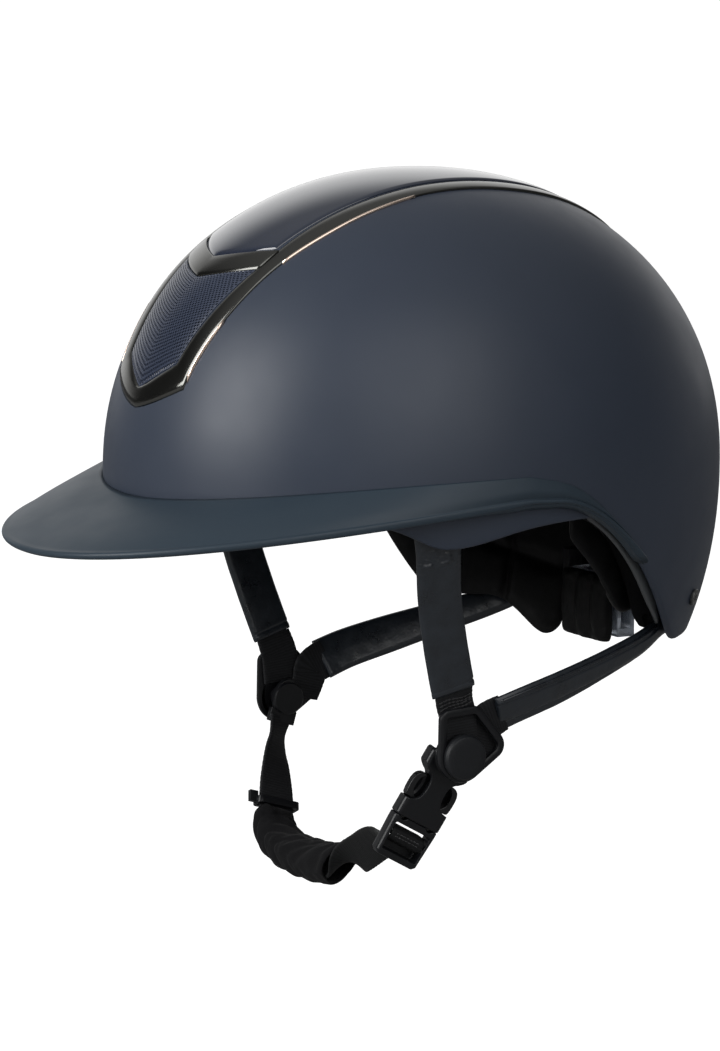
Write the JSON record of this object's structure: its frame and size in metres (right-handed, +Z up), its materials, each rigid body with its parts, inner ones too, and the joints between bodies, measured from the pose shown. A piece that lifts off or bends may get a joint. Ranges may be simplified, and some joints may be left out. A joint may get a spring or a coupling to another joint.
{
  "type": "riding helmet",
  "caption": "Riding helmet with a wide peaked brim, ventilated crown with a glossy top panel, padded head-size adjuster, and a padded chin strap with a side-release buckle.",
  "frame": {"origin": "centre of the head's opening, on the helmet's middle plane, at the level where the outer shell is widest", "axes": "+Z up towards the crown, -Y towards the brim (front), +X towards the left ear of the wearer"},
  "size_m": [0.225, 0.3168, 0.3042],
  "materials": {
    "shell_matt": "satin matt lacquer",
    "trim_gloss_black": "gloss",
    "liner_foam": "moulded foam",
    "frame_metal": "dark chrome",
    "grille": "semi gloss",
    "panel_gloss": "high gloss lacquer",
    "accent": "polished",
    "screw": "satin",
    "anchor_plastic": "moulded",
    "pad_fabric": "soft knit",
    "housing_clear": "translucent grey",
    "buckle_plastic": "semi matt moulded",
    "strap_leather": "soft grained",
    "webbing": "ribbed weave",
    "chin_fabric": "suede like"
  },
  "bodies": {
    "helmet": {"crown_shell": "shell_matt", "brim": "shell_matt", "lower_shell": "shell_matt", "ear_trim_left": "trim_gloss_black", "ear_trim_right": "trim_gloss_black", "impact_liner": "liner_foam", "grille_frame": "frame_metal", "frame_crossbar": "frame_metal", "vent_grille": "grille", "top_panel": "panel_gloss", "accent_line": "accent", "rear_screws": "screw", "front_anchors": "anchor_plastic", "crown_pad": "pad_fabric", "brow_pad": "pad_fabric", "temple_pad_left": "pad_fabric", "temple_pad_right": "pad_fabric", "nape_center_pad": "pad_fabric", "cradle_spine": "anchor_plastic", "dial_housing": "housing_clear", "front_cover_left": "strap_leather", "front_cover_right": "strap_leather", "front_webbing_left": "webbing", "front_webbing_right": "webbing", "rear_strap_left": "strap_leather", "rear_strap_right": "strap_leather", "divider_left": "buckle_plastic", "divider_right": "buckle_plastic", "divider_disc_left": "buckle_plastic", "divider_disc_right": "buckle_plastic"},
    "nape_arm_left": {"nape_arm_left": "anchor_plastic", "nape_pad_left": "pad_fabric"},
    "nape_arm_right": {"nape_arm_right": "anchor_plastic", "nape_pad_right": "pad_fabric"},
    "dial": {"dial_knob": "buckle_plastic", "dial_gear": "anchor_plastic"},
    "chin_strap": {"buckle_socket": "buckle_plastic", "strap_tab_right": "buckle_plastic", "webbing_right": "webbing", "chin_pad": "chin_fabric", "sleeve_cuff": "buckle_plastic"},
    "buckle_plug": {"buckle_plug": "buckle_plastic", "webbing_left": "webbing"},
    "prong_front": {"prong_front": "buckle_plastic"},
    "prong_rear": {"prong_rear": "buckle_plastic"}
  },
  "joints": [
    {"name": "chin_swing", "type": "hinge", "parent": "helmet", "child": "chin_strap", "pos_m": [0, -0.0155, -0.1106], "axis": [1, 0, 0], "range_deg": [-25, 25]},
    {"name": "buckle_release", "type": "slide", "parent": "chin_strap", "child": "buckle_plug", "axis": [-0.1616, -0.4814, -0.8614], "range_m": [0, 0.02], "deforming": ["webbing_left"]},
    {"name": "prong_front_squeeze", "type": "hinge", "parent": "buckle_plug", "child": "prong_front", "pos_m": [0.06625, -0.03514, -0.13509], "axis": [-0.9862, 0.1108, 0.1231], "range_deg": [0, 6], "stiffness_Nm_per_rad": 0.3},
    {"name": "prong_rear_squeeze", "type": "hinge", "parent": "buckle_plug", "child": "prong_rear", "pos_m": [0.06674, -0.02348, -0.14169], "axis": [0.9862, -0.1108, -0.1231], "range_deg": [0, 6], "stiffness_Nm_per_rad": 0.3},
    {"name": "dial_turn", "type": "hinge", "parent": "helmet", "child": "dial", "pos_m": [0, 0.09988, -0.066], "axis": [0, -1, 0], "range_deg": [0, 69]},
    {"name": "arm_left_pull", "type": "slide", "parent": "helmet", "child": "nape_arm_left", "axis": [-1, 0, 0], "range_m": [0, 0.006]},
    {"name": "arm_right_pull", "type": "slide", "parent": "helmet", "child": "nape_arm_right", "axis": [1, 0, 0], "range_m": [0, 0.006]}
  ],
  "couplings": [
    {"joint": "dial_turn", "follows": "arm_left_pull", "rad_per_m": 200},
    {"joint": "arm_right_pull", "follows": "arm_left_pull", "ratio": 1}
  ]
}
